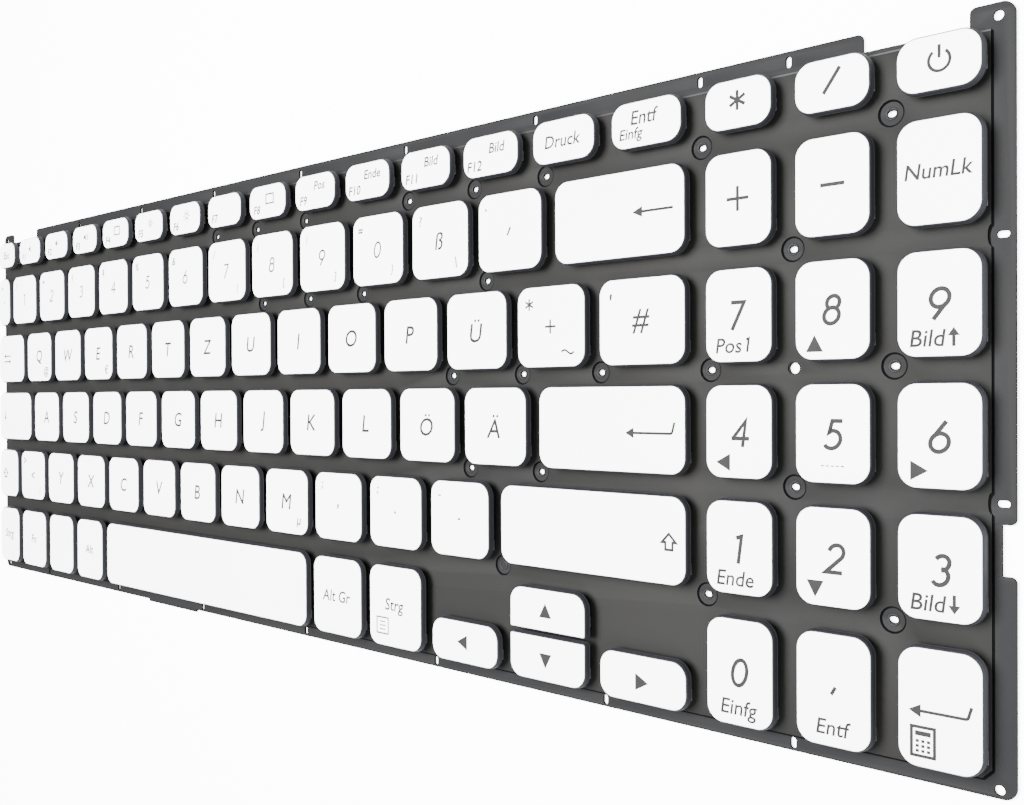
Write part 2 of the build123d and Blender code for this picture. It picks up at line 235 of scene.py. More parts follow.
def mottle_group():
    """Slow change between two colours."""
    group = new_group("soft_mottle", "ShaderNodeTree",
                      (("First", "Color"), ("Second", "Color"), ("Scale", "Float")),
                      (("Color", "Color"),))
    inside = add_node(group, "NodeGroupInput", -800, 0)
    outside = add_node(group, "NodeGroupOutput", 500, 0)
    coords = add_node(group, "ShaderNodeTexCoord", -800, -250)
    noise = add_node(group, "ShaderNodeTexNoise", -500, -100)
    noise.inputs["Detail"].default_value = 2.0
    spread = add_node(group, "ShaderNodeMapRange", -250, -100)
    spread.inputs["From Min"].default_value = 0.3
    spread.inputs["From Max"].default_value = 0.7
    mix = add_node(group, "ShaderNodeMix", 100, 0)
    mix.data_type = "RGBA"
    group.links.new(coords.outputs["Object"], noise.inputs["Vector"])
    group.links.new(inside.outputs["Scale"], noise.inputs["Scale"])
    group.links.new(noise.outputs["Fac"], spread.inputs["Value"])
    group.links.new(spread.outputs["Result"], mix.inputs["Factor"])
    group.links.new(inside.outputs["First"], mix.inputs["A"])
    group.links.new(inside.outputs["Second"], mix.inputs["B"])
    group.links.new(mix.outputs["Result"], outside.inputs["Color"])
    return group


def height_group():
    """One above a height, nothing below it, with a soft step."""
    group = new_group("above_height", "ShaderNodeTree", (("From", "Float"), ("To", "Float")),
                      (("Mask", "Float"),))
    inside = add_node(group, "NodeGroupInput", -600, 0)
    outside = add_node(group, "NodeGroupOutput", 300, 0)
    coords = add_node(group, "ShaderNodeTexCoord", -600, -200)
    split = add_node(group, "ShaderNodeSeparateXYZ", -350, -200)
    step = add_node(group, "ShaderNodeMapRange", 0, 0)
    step.interpolation_type = "SMOOTHSTEP"
    group.links.new(coords.outputs["Object"], split.inputs["Vector"])
    group.links.new(split.outputs["Z"], step.inputs["Value"])
    group.links.new(inside.outputs["From"], step.inputs["From Min"])
    group.links.new(inside.outputs["To"], step.inputs["From Max"])
    group.links.new(step.outputs["Result"], outside.inputs["Mask"])
    return group


GRAIN = grain_group()
MOTTLE = mottle_group()
ABOVE = height_group()


def use_group(tree, group, x, y):
    """A group node at a place in the tree."""
    node = add_node(tree, "ShaderNodeGroup", x, y)
    node.node_tree = group
    return node


def coated(name, first, second, mottle_scale, grain_scale, grain, rough_low, rough_high, shine=0.5):
    """A coated surface: slow mottling, fine grain and a roughness that follows the grain."""
    material = bpy.data.materials.new(name)
    material.use_nodes = True
    tree = material.node_tree
    shader = tree.nodes["Principled BSDF"]
    mottle = use_group(tree, MOTTLE, -700, 200)
    mottle.inputs["First"].default_value = (*first, 1.0)
    mottle.inputs["Second"].default_value = (*second, 1.0)
    mottle.inputs["Scale"].default_value = mottle_scale
    fine = use_group(tree, GRAIN, -700, -150)
    fine.inputs["Scale"].default_value = grain_scale
    fine.inputs["Strength"].default_value = grain
    rough = add_node(tree, "ShaderNodeMapRange", -350, -100)
    rough.inputs["To Min"].default_value = rough_low
    rough.inputs["To Max"].default_value = rough_high
    shader.inputs["Specular IOR Level"].default_value = shine
    tree.links.new(mottle.outputs["Color"], shader.inputs["Base Color"])
    tree.links.new(fine.outputs["Value"], rough.inputs["Value"])
    tree.links.new(rough.outputs["Result"], shader.inputs["Roughness"])
    tree.links.new(fine.outputs["Normal"], shader.inputs["Normal"])
    return material


def cap_material():
    """Pale paint on the flat top that ends in the dark of the skirt where the edge turns down."""
    material = coated("cap_paint", (0.90, 0.90, 0.90), (0.87, 0.875, 0.88),
                      45.0, 9000.0, 0.12, 0.36, 0.5, 0.4)
    tree = material.node_tree
    shader = tree.nodes["Principled BSDF"]
    mottle = [n for n in tree.nodes if n.type == "GROUP" and n.node_tree == MOTTLE][0]
    above = use_group(tree, ABOVE, -700, 450)
    above.inputs["From"].default_value = (KEY_TOP - INK - PAINT_END) * MM
    above.inputs["To"].default_value = (KEY_TOP - INK - PAINT_START) * MM
    mix = add_node(tree, "ShaderNodeMix", -300, 350)
    mix.data_type = "RGBA"
    mix.inputs["A"].default_value = (0.0065, 0.0068, 0.0075, 1.0)
    tree.links.new(above.outputs["Mask"], mix.inputs["Factor"])
    tree.links.new(mottle.outputs["Color"], mix.inputs["B"])
    tree.links.new(mix.outputs["Result"], shader.inputs["Base Color"])
    return material


CAP = cap_material()
SKIRT = coated("cap_skirt", (0.0155, 0.016, 0.0185), (0.0135, 0.014, 0.0162),
               120.0, 9000.0, 0.12, 0.6, 0.72, 0.03)
# Pale finish of the small feet under the skirts: a painted glint
FOOT_GLINT = coated("cap_foot_painted_glint", (0.034, 0.036, 0.037), (0.028, 0.030, 0.031),
              500.0, 9000.0, 0.12, 0.4, 0.5, 0.2)
INK_PRINT = coated("legend_print", (0.0085, 0.0084, 0.009), (0.0105, 0.0104, 0.011),
                   900.0, 16000.0, 0.1, 0.6, 0.75, 0.1)
FILM = coated("film_sheet", (0.0090, 0.0088, 0.0085), (0.0078, 0.0078, 0.0077),
              22.0, 5000.0, 0.1, 0.5, 0.6, 0.04)
PLATE = coated("plate_coat", (0.0086, 0.0087, 0.0090), (0.0072, 0.0073, 0.0077),
               30.0, 7000.0, 0.2, 0.5, 0.62, 0.04)
COLLAR = coated("rivet_collar", (0.006, 0.0062, 0.0066), (0.0045, 0.0047, 0.005),
                400.0, 9000.0, 0.25, 0.45, 0.6, 0.15)
# Painted highlight: the pale line along the film's back edge
HIGHLIGHT_EDGE = coated("film_back_edge_painted_highlight", (0.016, 0.016, 0.0158), (0.012, 0.012, 0.0118),
                   300.0, 9000.0, 0.2, 0.4, 0.55, 0.1)
# Near-black: the dark cut walls of the sheets, and painted shade along the film's edges and round
# openings
DARK_EDGE_AND_SHADE = coated("cut_edge_and_painted_shade", (0.0012, 0.0012, 0.0012), (0.0008, 0.0008, 0.0008),
                   400.0, 9000.0, 0.2, 0.7, 0.85, 0.02)
FRAME = coated("folding_frame", (0.05, 0.051, 0.053), (0.04, 0.041, 0.042),
               300.0, 9000.0, 0.12, 0.3, 0.42)
DOME = coated("rubber_dome", (0.06, 0.06, 0.058), (0.045, 0.045, 0.043),
              500.0, 8000.0, 0.15, 0.5, 0.65, 0.3)


# Meshes

def weld(mesh, distance):
    """Joins corners that meet and turns all faces outward."""
    work = bmesh.new()
    work.from_mesh(mesh)
    bmesh.ops.remove_doubles(work, verts=work.verts, dist=distance)
    bmesh.ops.recalc_face_normals(work, faces=work.faces)
    work.to_mesh(mesh)
    work.free()


def smooth_object(name, mesh):
    """An object of a mesh, smooth between its sharp edges."""
    mesh.shade_smooth()
    mesh.set_sharp_from_angle(angle=SHARP_ANGLE)
    obj = bpy.data.objects.new(name, mesh)
    bpy.context.scene.collection.objects.link(obj)
    return obj


class Shape:
    """Corners and faces gathered for one piece, in millimetres."""

    def __init__(self):
        self.corners = []
        self.faces = []
        self.finish = []

    def add(self, corners, faces, finish=0):
        """Takes in corners and the faces between them."""
        start = len(self.corners)
        self.corners += [tuple(c) for c in corners]
        self.faces += [tuple(start + i for i in f) for f in faces]
        self.finish += [finish] * len(faces)

    def bands(self, rings, finish=0, first=False, last=False, loop=False):
        """Faces between successive rings of equally many corners."""
        count = len(rings[0])
        faces = []
        for r in range(len(rings) if loop else len(rings) - 1):
            a = r * count
            b = (r + 1) % len(rings) * count
            for i in range(count):
                j = (i + 1) % count
                faces.append((a + i, a + j, b + j, b + i))
        if first:
            faces.append(tuple(reversed(range(count))))
        if last:
            faces.append(tuple(range((len(rings) - 1) * count, len(rings) * count)))
        self.add([c for ring in rings for c in ring], faces, finish)

    def prism(self, outline, low, high, finish=0):
        """A straight piece over a flat outline that runs counter-clockwise."""
        self.bands([[(x, y, low) for x, y in outline], [(x, y, high) for x, y in outline]],
                   finish, True, True)

    def piece(self, name, materials):
        """The finished object."""
        mesh = bpy.data.meshes.new(name)
        mesh.from_pydata([Vector(c) * MM for c in self.corners], [], self.faces)
        for material in materials:
            mesh.materials.append(material)
        for polygon, finish in zip(mesh.polygons, self.finish):
            polygon.material_index = finish
        weld(mesh, WELD)
        return smooth_object(name, mesh)


def ring(sides, front_r, back_r, grow, z, steps=CORNER_STEPS):
    """A rounded outline grown from a cap's top outline, at a height."""
    left, right, front, back = sides
    corners = (
        (right - front_r, front + front_r, front_r, -math.pi / 2),
        (right - back_r, back - back_r, back_r, 0.0),
        (left + back_r, back - back_r, back_r, math.pi / 2),
        (left + front_r, front + front_r, front_r, math.pi),
    )
    points = []
    for x, y, r, start in corners:
        reach = max(r + grow, LEAST_R)
        slip = r + grow - reach
        slip_x = slip * math.copysign(1, math.cos(start + math.pi / 4))
        slip_y = slip * math.copysign(1, math.sin(start + math.pi / 4))
        for i in range(steps + 1):
            angle = start + i * math.pi / 2 / steps
            points.append((x + reach * math.cos(angle) + slip_x, y + reach * math.sin(angle) + slip_y, z))
    return points


def foot(shape, sides):
    """A small foot under the right-hand skirt of a cap, near the front; its pale colour is a painted
    glint.
    """
    right, front, back = sides[1:]
    place = front + min(FOOT_PLACE, (back - front) * FOOT_SHARE)
    start, end = place - FOOT_LENGTH / 2, place + FOOT_LENGTH / 2
    outer, inner = right + FLARE - FOOT_OUTER, right + FLARE - FOOT_INNER
    low, high = SKIRT_Z - FOOT_DROP, SKIRT_Z + LIP
    rings = []
    for inset, z in ((FOOT_BEVEL, low), (0.0, low + FOOT_BEVEL_H), (0.0, high)):
        rings.append([(outer - inset / 3, start + inset, z), (outer - inset / 3, end - inset, z),
                      (inner, end - inset, z), (inner, start + inset, z)])
    shape.bands(rings, ON_FOOT_GLINT, True, True)


def cap(shape, sides, front_r=CORNER_R, back_r=CORNER_R):
    """One cap: hollow below, drafted skirt, rounded top edge."""
    top = KEY_TOP - INK
    profile = [(-CAP_WALL, ROOF_Z), (-CAP_WALL, SKIRT_Z + LIP), (-CAP_WALL + LIP, SKIRT_Z),
               (FLARE - LIP, SKIRT_Z), (FLARE, SKIRT_Z + LIP), (FLARE, SKIRT_Z + 2 * LIP),
               (FLARE - RIM, SKIRT_Z + 2 * LIP + RIM)]
    edge_z = top - EDGE_R
    profile.append((FLARE * (KEY_TOP - edge_z) / (KEY_TOP - SKIRT_Z), edge_z))
    for i in range(1, EDGE_STEPS + 1):
        turn = i * math.pi / 2 / EDGE_STEPS
        grow = -EDGE_R * (1 - math.cos(turn)) + EDGE_EASE * (1 - i / EDGE_STEPS)
        profile.append((grow, edge_z + EDGE_R * math.sin(turn)))
    profile.append((-EDGE_R - TOP_INSET, top))
    rings = [ring(sides, front_r, back_r, grow, z) for grow, z in profile]
    shape.bands(rings[:-PAINTED_RINGS], ON_SKIRT, True)
    shape.bands(rings[-PAINTED_RINGS - 1:], ON_TOP, False, True)
    foot(shape, sides)


def middle(sides):
    """Middle of a cap."""
    return ((sides[0] + sides[1]) / 2, (sides[2] + sides[3]) / 2)


def turned(shape, profile, x, y, steps, finish):
    """A turned piece from radius and height pairs, closed at both ends."""
    turns = [i * 2 * math.pi / steps for i in range(steps)]
    rings = [[(x + r * math.cos(turn), y + r * math.sin(turn), z) for turn in turns] for r, z in profile]
    shape.bands(rings, finish, True, True)


def leaning_frame(shape, x, y, width, length, bar, end_bar, lean):
    """One folding frame: a rounded ring of bars that leans about the X axis."""
    def tilt(point):
        px, py, pz = point
        return (x + px, y + py * math.cos(lean) - pz * math.sin(lean),
                FRAME_MID_Z + py * math.sin(lean) + pz * math.cos(lean))

    outer = (-width / 2, width / 2, -length / 2, length / 2)
    inner = (-width / 2 + bar, width / 2 - bar, -length / 2 + end_bar, length / 2 - end_bar)
    half, ease = FRAME_T / 2, FRAME_EASE
    walls = (
        (outer, FRAME_CORNER, ((-ease, half), (0, half - ease), (0, ease - half), (-ease, -half))),
        (inner, FRAME_INNER_CORNER, ((ease, -half), (0, ease - half), (0, half - ease), (ease, half))),
    )
    rings = []
    for sides, r, profile in walls:
        for grow, z in profile:
            rings.append([tilt(p) for p in ring(sides, r, r, grow, z, FRAME_STEPS)])
    shape.bands(rings, ON_FRAME, loop=True)


def linkage(shape, sides):
    """The crossed frames and the dome under one cap."""
    x, y = middle(sides)
    short = sides[3] - sides[2] < SHALLOW_D
    length = SHORT_FRAME if short else LONG_FRAME
    end_bar = END_BAR if short else FRAME_BAR
    lean = math.asin(FRAME_RISE / (length / 2))
    width = min(FRAME_W, sides[1] - sides[0] - 2 * CAP_WALL - 2 * FRAME_GAP)
    inner_width = width - 2 * FRAME_BAR - 2 * FRAME_GAP
    leaning_frame(shape, x, y, width, length, FRAME_BAR, end_bar, lean)
    leaning_frame(shape, x, y, inner_width, length, FRAME_BAR, end_bar, -lean)
    r = min(SHORT_DOME_R if short else DOME_R, inner_width / 2 - FRAME_BAR - FRAME_GAP)
    high = ROOF_Z - DOME_GAP
    dome = [(r - inset, FILM_TOP + up) for inset, up in DOME_FOOT]
    dome += [(r - inset, high - down) for inset, down in DOME_HEAD]
    turned(shape, dome, x, y, DOME_STEPS, ON_DOME)


# Flat print: prisms on the cap tops

def stroke(shape, points, width, closed=False, drop=0.0):
    """A thin printed line through points, mitred at its bends; a crossing line lies lower."""
    rings = []
    high = KEY_TOP - drop
    count = len(points)
    for i, (x, y) in enumerate(points):
        before = points[i - 1] if i or closed else points[i]
        after = points[(i + 1) % count] if i < count - 1 or closed else points[i]
        way = []
        for (ax, ay), (bx, by) in ((before, (x, y)), ((x, y), after)):
            length = math.hypot(bx - ax, by - ay)
            if length:
                way.append(((bx - ax) / length, (by - ay) / length))
        ux, uy = sum(w[0] for w in way) / len(way), sum(w[1] for w in way) / len(way)
        size = math.hypot(ux, uy)
        reach = width / 2 / max(size, LEAST_FOLD)
        nx, ny = -uy / size * reach, ux / size * reach
        rings.append([(x - nx, y - ny, high - 2 * INK), (x + nx, y + ny, high - 2 * INK),
                      (x + nx, y + ny, high), (x - nx, y - ny, high)])
    shape.bands(rings, ON_PRINT, not closed, not closed, closed)


def arc(x, y, r, start, end, steps=8):
    """Points on an arc, angles in degrees."""
    turns = [math.radians(start + (end - start) * i / steps) for i in range(steps + 1)]
    return [(x + r * math.cos(turn), y + r * math.sin(turn)) for turn in turns]


def circle(x, y, r, count=24):
    """Points around a full circle."""
    return arc(x, y, r, 0, 360 - 360 / count, count - 1)


def patch(shape, points):
    """A filled printed shape, counter-clockwise."""
    shape.prism(points, KEY_TOP - 2 * INK, KEY_TOP, ON_PRINT)


def words(shape, text, height, x, y, own=False, bold=BOLD):
    """Slanted printed text, its middle at a point; own scales a sign to its own height."""
    curve = bpy.data.curves.new("legend", "FONT")
    curve.body = text
    curve.size = height / LETTER_H
    curve.resolution_u = 3
    curve.extrude = INK
    curve.bevel_depth = bold
    curve.bevel_resolution = 0
    curve.align_x = "CENTER"
    holder = bpy.data.objects.new("legend", curve)
    mesh = bpy.data.meshes.new_from_object(holder)
    low = min(v.co.y for v in mesh.vertices)
    high = max(v.co.y for v in mesh.vertices)
    left = min(v.co.x for v in mesh.vertices)
    right = max(v.co.x for v in mesh.vertices)
    grow = height / (high - low) if own else 1.0
    corners = []
    for v in mesh.vertices:
        up = (v.co.y - (low + high) / 2) * grow
        across = (v.co.x - (left + right) / 2) * grow
        z = KEY_TOP - INK + v.co.z * INK / (INK + bold)
        corners.append((x + across + SLANT * up, y + up, z))
    shape.add(corners, [tuple(p.vertices) for p in mesh.polygons], ON_PRINT)
    bpy.data.objects.remove(holder)
    bpy.data.curves.remove(curve)
    bpy.data.meshes.remove(mesh)


def triangle(shape, x, y, width, height, way):
    """A filled arrow head around a point, its tip along way, in degrees from +X."""
    a = math.radians(way)
    points = []
    for along, across in ((height / 2, 0), (-height / 2, width / 2), (-height / 2, -width / 2)):
        points.append((x + along * math.cos(a) - across * math.sin(a),
                       y + along * math.sin(a) + across * math.cos(a)))
    patch(shape, points)


def arrow(shape, x, y, length, way, head=(1.5, 1.2), line=LINE):
    """A printed line with an arrow head at its far end."""
    a = math.radians(way)
    width, height = head
    start, neck, tip = -length / 2, length / 2 - height, length / 2 - height / 2
    stroke(shape, [(x + start * math.cos(a), y + start * math.sin(a)),
                   (x + neck * math.cos(a), y + neck * math.sin(a))], line)
    triangle(shape, x + tip * math.cos(a), y + tip * math.sin(a), width, height, way)


def hollow_arrow(shape, x, y):
    """The open upward arrow of the shift keys."""
    points = [(0, 1.35), (1.4, -0.1), (0.72, -0.1), (0.72, -1.35),
              (-0.72, -1.35), (-0.72, -0.1), (-1.4, -0.1)]
    stroke(shape, [(x + px, y + py) for px, py in points], MARK_LINE, True)


def return_arrow(shape, left, right, y, rise):
    """The bent arrow of the enter keys."""
    bend = arc(right - 0.9, y + 0.5, 0.5, 270, 340, 5)
    stroke(shape, [(left + 1.8, y)] + bend + [(right, y + rise)], MARK_LINE)
    triangle(shape, left + 0.9, y, 1.9, 1.8, 180)


def power_mark(shape, x, y):
    """The open ring with a bar."""
    stroke(shape, arc(x, y, 1.5, 90 + 36, 450 - 36, 32), MARK_LINE)
    stroke(shape, [(x, y + 2.2), (x, y + 0.3)], MARK_LINE)


def star(shape, x, y, size, line):
    """A six-armed star."""
    for layer, turn in enumerate((90, 30, 150)):
        a = math.radians(turn)
        stroke(shape, [(x - size * math.cos(a), y - size * math.sin(a)),
                       (x + size * math.cos(a), y + size * math.sin(a))], line, drop=layer * LAYER)


def cross(shape, x, y, width, depth, line):
    """A plus sign."""
    stroke(shape, [(x - width / 2, y), (x + width / 2, y)], line)
    stroke(shape, [(x, y - depth / 2), (x, y + depth / 2)], line, drop=LAYER)


def wave(shape, x, y, size, line):
    """A small wavy line."""
    points = []
    for i in range(9):
        points.append((x + size * (i / 8 - 0.5), y + size * 0.12 * math.sin(i * math.pi / 4)))
    stroke(shape, points, line)


def frame_mark(shape, x, y, width, depth, line):
    """A printed rectangle."""
    w, d = width / 2, depth / 2
    stroke(shape, [(x - w, y - d), (x + w, y - d), (x + w, y + d), (x - w, y + d)], line, True)


def block(shape, x, y, width, depth):
    """A filled printed rectangle around a point."""
    w, d = width / 2, depth / 2
    patch(shape, [(x - w, y - d), (x + w, y - d), (x + w, y + d), (x - w, y + d)])


def calculator(shape, x, y):
    """A small calculator: case, display and nine buttons."""
    frame_mark(shape, x, y, 3.3, 4.1, 0.48)
    block(shape, x, y + 1.15, 2.3, 0.7)
    for column in (-0.8, 0.0, 0.8):
        for line in (-1.35, -0.65, 0.05):
            block(shape, x + column, y + line, 0.5, 0.44)


def sun(shape, x, y, size):
    """A small lamp mark with rays."""
    stroke(shape, circle(x, y, size * 0.45, 16), 0.3, True)
    for turn in range(0, 360, 45):
        a = math.radians(turn)
        stroke(shape, [(x + size * 0.75 * math.cos(a), y + size * 0.75 * math.sin(a)),
                       (x + size * math.cos(a), y + size * math.sin(a))], FINE_LINE)


def sound(shape, x, y, waves):
    """A small loudspeaker mark."""
    patch(shape, [(x - 1.2, y - 0.4), (x - 0.7, y - 0.4), (x, y - 1.0),
                  (x, y + 1.0), (x - 0.7, y + 0.4), (x - 1.2, y + 0.4)])
    for i in range(waves):
        stroke(shape, arc(x, y, 0.7 + 0.6 * i, -45, 45, 6), FINE_LINE)


# Centre lines of the digits, one unit high: whether each is closed, and its points
ZERO_LINE = [(0.27 * px, 0.44 * py) for px, py in circle(0, 0, 1, 28)]
DIGIT_LINES = {
    "0": ((True, ZERO_LINE),),
    "1": ((False, [(-0.17, 0.37), (0.03, 0.44), (0.03, -0.5)]),),
    "2": ((False, arc(0.0, 0.19, 0.25, 170, -38, 14) + [(-0.27, -0.44), (0.29, -0.44)]),),
    "3": ((False, arc(0.0, 0.22, 0.22, 150, -90, 14)), (False, arc(0.0, -0.195, 0.245, 90, -150, 14))),
    "4": ((False, [(0.21, -0.5), (0.21, 0.38), (-0.2, -0.21)]),
          (False, [(-0.26, -0.21), (0.43, -0.21)])),
    "5": ((False, [(0.25, 0.44), (-0.1, 0.44), (-0.15, 0.08)]
           + arc(-0.03, -0.155, 0.285, 100, -145, 14)),),
    "6": ((True, arc(0.0, -0.165, 0.275, 0, 346, 26)), (False, [(0.12, 0.48), (-0.2, 0.0)])),
    "7": ((False, [(-0.35, 0.44), (0.16, 0.44), (-0.18, -0.5)]),),
    "8": ((True, arc(0.0, -0.185, 0.255, 0, 346, 26)), (False, arc(0.0, 0.225, 0.215, -62, 242, 22))),
    "9": ((True, arc(0.0, 0.165, 0.275, 0, 346, 26)), (False, [(-0.12, -0.48), (0.2, 0.0)])),
}


def digit(shape, text, height, x, y, line):
    """One slanted digit drawn along its centre lines."""
    for layer, (closed, points) in enumerate(DIGIT_LINES[text]):
        placed = [(x + (px + SLANT * py) * height, y + py * height) for px, py in points]
        stroke(shape, placed, line, closed, layer * LAYER)


LETTERS = {name: name.upper() for name in "qwertzuiopasdfghjklyxcvbnm"}
LETTERS.update({"u_umlaut": "Ü", "o_umlaut": "Ö", "a_umlaut": "Ä"})
DIGITS = {"num_%d" % n: str(n) for n in range(10)}
SIGNS = {
    "one": ("1", "!", ""), "two": ("2", '"', ""), "three": ("3", "§", ""), "four": ("4", "$", ""),
    "five": ("5", "%", ""), "six": ("6", "&", ""), "seven": ("7", "/", "{"), "eight": ("8", "(", "["),
    "nine": ("9", ")", "]"), "zero": ("0", "=", "}"), "sharp_s": ("ß", "?", "\\"),
    "caret": ("^", "°", ""), "hash": ("#", "'", ""), "angle": ("<", ">", "|"),
    "comma": (",", ";", ""), "dot": (".", ":", ""), "dash": ("-", "_", ""),
}
SIGN_H = {"^": 0.9, "°": 0.9, ",": 1.2, ".": 0.6, "-": 0.42, "'": 1.1, '"': 1.0, "_": 0.3,
          ":": 1.5, ";": 1.8, "=": 1.0, "<": 2.4, ">": 2.0, "#": 4.2, "ß": 3.6}
CORNER_SIGNS = {"q": "@", "e": "€", "m": "µ"}
NUM_WORDS = {"num_7": "Pos", "num_9": "Bild", "num_1": "Ende", "num_3": "Bild", "num_0": "Einfg"}
NUM_ARROWS = {"num_8": 90, "num_4": 180, "num_6": 0, "num_2": 270}
DIGIT_SHIFT = {"num_1": (0.0, -0.2), "num_2": (0.4, -0.15), "num_3": (0.15, -0.25),
               "num_4": (0.0, -0.1), "num_5": (0.15, -0.15), "num_6": (0.1, -0.15)}
ARROW_WAYS = {"arrow_up": (90, -0.3, 0.0), "arrow_down": (270, -0.3, -0.35),
              "arrow_left": (180, -0.55, 0.0), "arrow_right": (0, 0.0, -0.5)}
FUNCTION_WORDS = {"f9": "Pos", "f10": "Ende", "f11": "Bild", "f12": "Bild"}
EDGE_WORDS = {"ctrl_left": "Strg", "ctrl_right": "Strg", "alt": "Alt", "alt_gr": "Alt Gr", "fn": "Fn"}


def sign_legend(shape, name, sides):
    """A main sign with a second and a third one in the corners."""
    left, right, front, back = sides
    x, y = middle(sides)
    main, second, third = SIGNS[name]
    if main in DIGIT_LINES:
        digit(shape, main, 3.6, x, y, LINE)
    else:
        words(shape, main, SIGN_H[main], x, y, True)
    words(shape, second, SIGN_H.get(second, 2.0), left + 2.6, back - 3.1, True)
    if third:
        words(shape, third, 2.2, right - 3.4, front + 2.9, True)


def number_legend(shape, name, sides):
    """A large digit, and below it a word, an arrow or a row of short strokes."""
    left, front = sides[0], sides[2]
    x, y = middle(sides)
    across, up = DIGIT_SHIFT.get(name, (0.0, 0.0))
    digit(shape, DIGITS[name], 4.7, x + 0.1 + across, y + up, 0.66)
    low = front + (2.75 if name in ("num_7", "num_9") else 2.6)
    if name in ("num_9", "num_3"):
        words(shape, NUM_WORDS[name], 2.1, x - 1.55, low)
        arrow(shape, x + 2.1, low + 0.1, 2.7, 90 if name == "num_9" else 270, (1.75, 1.2), 0.5)
    elif name == "num_7":
        words(shape, NUM_WORDS[name], 2.1, x - 1.6, low)
        digit(shape, "1", 2.3, x + 1.75, low + 0.05, LINE)
    elif name in NUM_WORDS:
        words(shape, NUM_WORDS[name], 2.15, x - (0.05 if name == "num_0" else 0.55), low)
    elif name == "num_5":
        for i in range(5):
            stroke(shape, [(x - 1.8 + 0.8 * i, low + 0.1), (x - 1.3 + 0.8 * i, low + 0.1)], 0.2)
    if name in NUM_ARROWS:
        triangle(shape, left + 3.25, low, 2.85, 2.6, NUM_ARROWS[name])


def function_legend(shape, name, sides):
    """The small number of a function key and its mark."""
    x, y = middle(sides)
    words(shape, name.upper(), 1.7, sides[0] + 3.2, y - 1.7)
    if name in ("f1", "f2", "f3"):
        sound(shape, x + 0.8, y + 0.6, int(name[1]) - 1)
    elif name in ("f5", "f6"):
        sun(shape, x + 1.0, y + 0.6, 1.6 if name == "f6" else 1.3)
    elif name in ("f4", "f8"):
        frame_mark(shape, x + 1.0, y + 0.6, 3.0, 2.2, 0.36)
    elif name in FUNCTION_WORDS:
        words(shape, FUNCTION_WORDS[name], 1.7, x + 1.8, y + 1.3)


def legend(shape, name, sides):
    """The print of one key."""
    x, y = middle(sides)
    left, right, front, back = sides
    if name in LETTERS:
        words(shape, LETTERS[name], 3.2, x, y)
        if name in CORNER_SIGNS:
            words(shape, CORNER_SIGNS[name], 2.0, right - 3.4, front + 2.9)
    elif name in SIGNS:
        sign_legend(shape, name, sides)
    elif name in DIGITS:
        number_legend(shape, name, sides)
    elif name == "acute":
        stroke(shape, [(x - 0.45, y - 0.8), (x + 0.35, y + 0.8)], LINE)
        stroke(shape, [(left + 2.3, back - 3.2), (left + 1.9, back - 2.7)], 0.34)
    elif name == "plus":
        cross(shape, x, y, 2.6, 2.6, LINE)
        star(shape, left + 3.0, back - 3.3, 1.1, 0.38)
        wave(shape, right - 4.0, front + 2.8, 3.0, 0.38)
    elif name in ARROW_WAYS:
        way, across, up = ARROW_WAYS[name]
        triangle(shape, x + across, y + up, 3.0, 2.75, way)
    elif name == "backspace":
        arrow(shape, right - 6.5, y + 0.15, 8.4, 180, (1.9, 2.1), MARK_LINE)
    elif name == "enter":
        return_arrow(shape, right - 12.4, right - 2.2, y - 0.6, 1.9)
    elif name == "num_enter":
        return_arrow(shape, left + 1.6, left + 10.5, y - 0.5, 1.75)
        calculator(shape, left + 3.7, front + 3.75)
    elif name == "shift_right":
        hollow_arrow(shape, right - 3.4, y - 0.2)
    elif name == "shift_left":
        hollow_arrow(shape, left + 4.0, y)
    elif name == "caps_lock":
        arrow(shape, left + 4.0, y, 3.0, 270)
    elif name == "tab":
        arrow(shape, left + 6.0, y + 0.9, 5.0, 180)
        arrow(shape, left + 6.0, y - 0.9, 5.0, 0)
    elif name == "power":
        power_mark(shape, x + 0.15, y + 0.2)
    elif name == "times":
        star(shape, x, y + 0.55, 1.6, 0.54)
    elif name == "divide":
        stroke(shape, [(x - 1.25, y - 1.3), (x + 1.4, y + 2.35)], 0.62)
    elif name == "num_plus":
        cross(shape, x, y + 0.05, 4.0, 4.0, 0.55)
    elif name == "num_minus":
        stroke(shape, [(x - 1.8, y + 0.2), (x + 2.1, y + 0.2)], 0.6)
    elif name == "num_lock":
        words(shape, "NumLk", 1.95, x + 0.1, y + 0.15)
    elif name == "num_comma":
        stroke(shape, [(x - 0.25, y - 0.65), (x + 0.45, y + 0.55)], 0.55)
        words(shape, "Entf", 2.05, x + 0.1, front + 3.0)
    elif name == "print":
        words(shape, "Druck", 2.0, x, y)
    elif name == "delete":
        words(shape, "Entf", 2.1, x - 0.2, y + 1.2)
        words(shape, "Einfg", 1.6, x - 3.0, y - 1.7)
    elif name == "escape":
        words(shape, "Esc", 2.0, x, y)
    elif name in EDGE_WORDS:
        words(shape, EDGE_WORDS[name], 2.2, x - 0.2, y)
        if name == "ctrl_right":
            frame_mark(shape, left + 4.2, front + 4.3, 3.6, 3.4, 0.32)
            for i in (-0.8, 0.0, 0.8):
                stroke(shape, [(left + 3.3, front + 4.3 + i), (left + 5.1, front + 4.3 + i)], FINE_LINE)
    elif name[0] == "f" and name[1:].isdigit():
        function_legend(shape, name, sides)


def top_sides(node):
    """Top outline of a cap from its box."""
    lo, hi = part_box(node)
    return (lo[0] / MM + FLARE, hi[0] / MM - FLARE, lo[1] / MM + FLARE, hi[1] / MM - FLARE)


def row_sides(node, names, width, pitch):
    """Top outlines in a row node: equal keys from its right end, the first key takes the rest."""
    left, right, front, back = top_sides(node)
    row = {}
    for i, name in enumerate(reversed(names[1:])):
        row[name] = (right - i * pitch - width, right - i * pitch, front, back)
    row[names[0]] = (left, row[names[1]][0] - (pitch - width), front, back)
    return row


